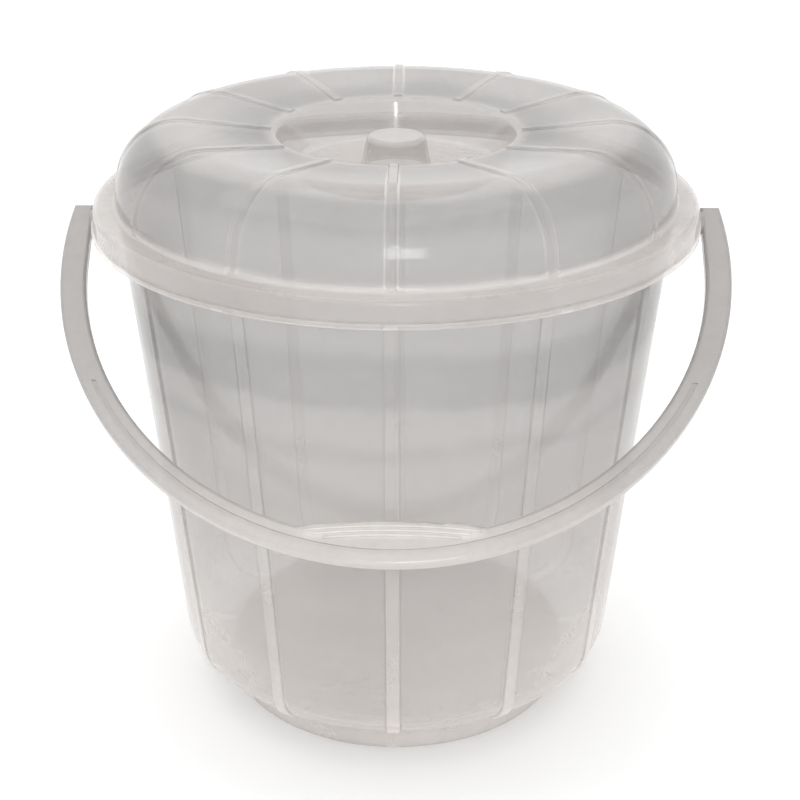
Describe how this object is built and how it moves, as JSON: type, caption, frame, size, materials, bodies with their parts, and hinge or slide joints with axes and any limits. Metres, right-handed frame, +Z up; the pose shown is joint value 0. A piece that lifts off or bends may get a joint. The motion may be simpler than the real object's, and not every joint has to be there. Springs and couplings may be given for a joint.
{
  "type": "lidded bucket",
  "caption": "Round translucent plastic bucket with ribbed tapered wall, foot ring, domed lift-off lid with a knob in a well, and a swinging bail handle.",
  "frame": {"origin": "centre of the circle on which the foot ring stands, on the bucket's axis", "axes": "+Z up along the bucket's axis; X along the line of the handle's pegs; the handle hangs on the -Y side, the front"},
  "size_m": [0.3544, 0.323, 0.3307],
  "materials": {
    "pail_plastic": "natural translucent polypropylene, glossy",
    "lid_plastic": "natural translucent polypropylene, glossy",
    "handle_plastic": "natural translucent polypropylene, satin gloss"
  },
  "bodies": {
    "pail": {"pail": "pail_plastic"},
    "lid": {"lid": "lid_plastic"},
    "handle": {"bail_handle": "handle_plastic"}
  },
  "joints": [
    {"name": "handle_swing", "type": "hinge", "parent": "pail", "child": "handle", "pos_m": [0, 0, 0.2736], "axis": [-1, 0, 0], "range_deg": [0, 254]},
    {"name": "lid_lift", "type": "slide", "parent": "pail", "child": "lid", "axis": [0, 0, 1], "range_m": [0, 0.12]}
  ]
}
